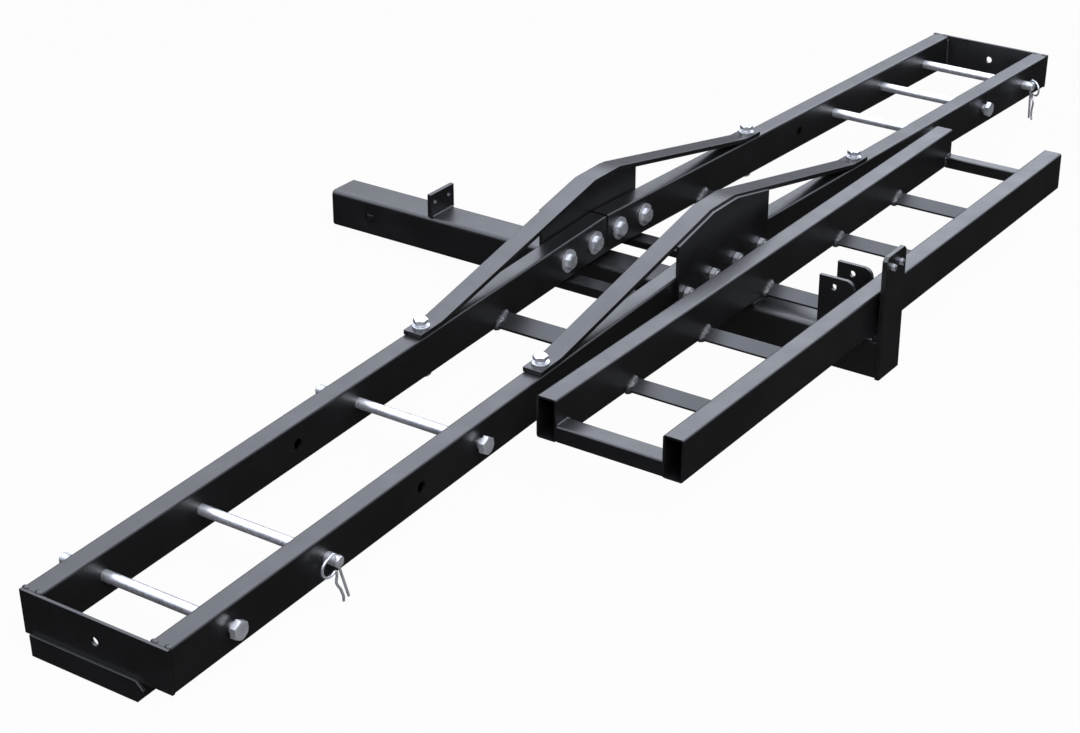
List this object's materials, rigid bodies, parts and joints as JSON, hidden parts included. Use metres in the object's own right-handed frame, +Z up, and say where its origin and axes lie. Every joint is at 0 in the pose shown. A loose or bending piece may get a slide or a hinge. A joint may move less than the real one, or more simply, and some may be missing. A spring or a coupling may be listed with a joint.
{
  "type": "hitch motorcycle carrier",
  "caption": "Steel motorcycle carrier for a square receiver hitch: an open wheel track across a hitch tube, with cross rods, braces and a stored loading ramp.",
  "frame": {"origin": "centre of the hitch pin hole on the hitch tube's axis", "axes": "+X along the wheel track, +Y along the hitch tube towards the vehicle, +Z up"},
  "size_m": [1.9905, 0.8275, 0.1746],
  "materials": {
    "black_paint": "semi-gloss black paint",
    "zinc": "bright zinc plate"
  },
  "bodies": {
    "carrier": {"hitch_tube": "black_paint", "stop_plate": "black_paint", "tie_left": "black_paint", "tie_right": "black_paint", "joint_plate_far": "black_paint", "joint_plate_near": "black_paint", "brace_far": "black_paint", "brace_near": "black_paint", "rail_left_far": "black_paint", "rail_left_near": "black_paint", "rail_right_far": "black_paint", "rail_right_near": "black_paint", "end_plate_left": "black_paint", "end_plate_right": "black_paint", "track_bar_left": "black_paint", "track_bar_right": "black_paint", "hook_lip": "black_paint", "upright_plate": "black_paint", "keeper_strip": "black_paint", "ramp_bracket": "black_paint", "ramp_rest": "black_paint", "splice_bolts": "zinc", "splice_washers": "zinc", "splice_nuts": "zinc", "brace_bolts": "zinc", "brace_washers": "zinc", "brace_nuts": "zinc", "rod_bolts": "zinc", "rod_nuts": "zinc", "upright_bolts": "zinc", "upright_nuts": "zinc"},
    "rod_left": {"hairpin_rod_left": "zinc"},
    "rod_right": {"hairpin_rod_right": "zinc"},
    "clip_left": {"hairpin_left": "zinc"},
    "clip_right": {"hairpin_right": "zinc"},
    "ramp": {"ramp_rail_far": "black_paint", "ramp_rail_near": "black_paint", "ramp_wide_bar": "black_paint", "ramp_narrow_bar": "black_paint", "ramp_rung_1": "black_paint", "ramp_rung_2": "black_paint", "ramp_rung_3": "black_paint", "ramp_rung_4": "black_paint", "ramp_rung_5": "black_paint"}
  },
  "joints": [
    {"name": "ramp_lift", "type": "slide", "parent": "carrier", "child": "ramp", "axis": [0, 0, 1], "range_m": [0, 0.3]},
    {"name": "rod_left_turn", "type": "hinge", "parent": "carrier", "child": "rod_left", "pos_m": [-0.76339, -0.43, 0.02366], "axis": [0, 1, 0], "continuous": true},
    {"name": "rod_right_turn", "type": "hinge", "parent": "carrier", "child": "rod_right", "pos_m": [0.90526, -0.43, 0.01759], "axis": [0, 1, 0], "continuous": true},
    {"name": "clip_left_pull", "type": "slide", "parent": "rod_left", "child": "clip_left", "axis": [-0.309, 0, 0.9511], "range_m": [0, 0.06]},
    {"name": "clip_right_pull", "type": "slide", "parent": "rod_right", "child": "clip_right", "axis": [-0.0698, 0, 0.9976], "range_m": [0, 0.06]}
  ]
}
